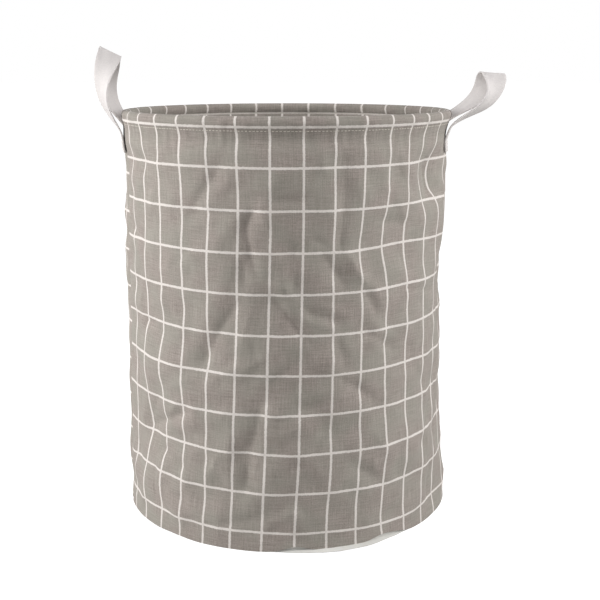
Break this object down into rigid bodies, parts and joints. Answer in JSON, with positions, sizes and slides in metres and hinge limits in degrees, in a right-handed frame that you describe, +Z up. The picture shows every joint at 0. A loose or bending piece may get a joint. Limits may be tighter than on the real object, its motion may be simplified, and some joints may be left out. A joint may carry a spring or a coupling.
{
  "type": "laundry hamper",
  "caption": "Round soft-sided laundry hamper: check-printed cloth wall, sprung wire rim that pushes down to fold it flat, and a swinging webbing loop handle on each side.",
  "frame": {"origin": "middle of the base panel's underside, on the surface that the hamper stands on", "axes": "+Z up through the mouth, +X towards the right handle, and the pictured front faces -Y"},
  "size_m": [0.4364, 0.35, 0.4928],
  "materials": {
    "printed_cloth": "plain woven cotton and linen in grey taupe with a cream check print",
    "coated_cloth": "white waterproof coating on cloth, satin",
    "webbing": "pale grey cotton webbing",
    "binding_tape": "off-white woven binding tape",
    "spring_steel": "plain round spring wire"
  },
  "bodies": {
    "basket": {"base_panel": "coated_cloth", "base_seam_tape": "binding_tape", "front_wall_panel": "printed_cloth", "back_wall_panel": "printed_cloth", "wall_lining": "coated_cloth", "left_seam_tape": "binding_tape", "right_seam_tape": "binding_tape"},
    "rim": {"rim_hem": "printed_cloth", "rim_hoop": "spring_steel", "hoop_ferrule": "spring_steel", "left_front_strap_end": "webbing", "left_rear_strap_end": "webbing", "right_front_strap_end": "webbing", "right_rear_strap_end": "webbing"},
    "left_handle": {"left_handle_strap": "webbing"},
    "right_handle": {"right_handle_strap": "webbing"}
  },
  "joints": [
    {"name": "rim_collapse", "type": "slide", "parent": "basket", "child": "rim", "axis": [0, 0, -1], "range_m": [0, 0.36], "deforming": ["front_wall_panel", "back_wall_panel", "wall_lining", "left_seam_tape", "right_seam_tape"]},
    {"name": "left_handle_swing", "type": "hinge", "parent": "rim", "child": "left_handle", "pos_m": [-0.17661, 0, 0.413], "axis": [0, 1, 0], "range_deg": [-147, 13]},
    {"name": "right_handle_swing", "type": "hinge", "parent": "rim", "child": "right_handle", "pos_m": [0.17661, 0, 0.413], "axis": [0, -1, 0], "range_deg": [-117, 43]}
  ]
}
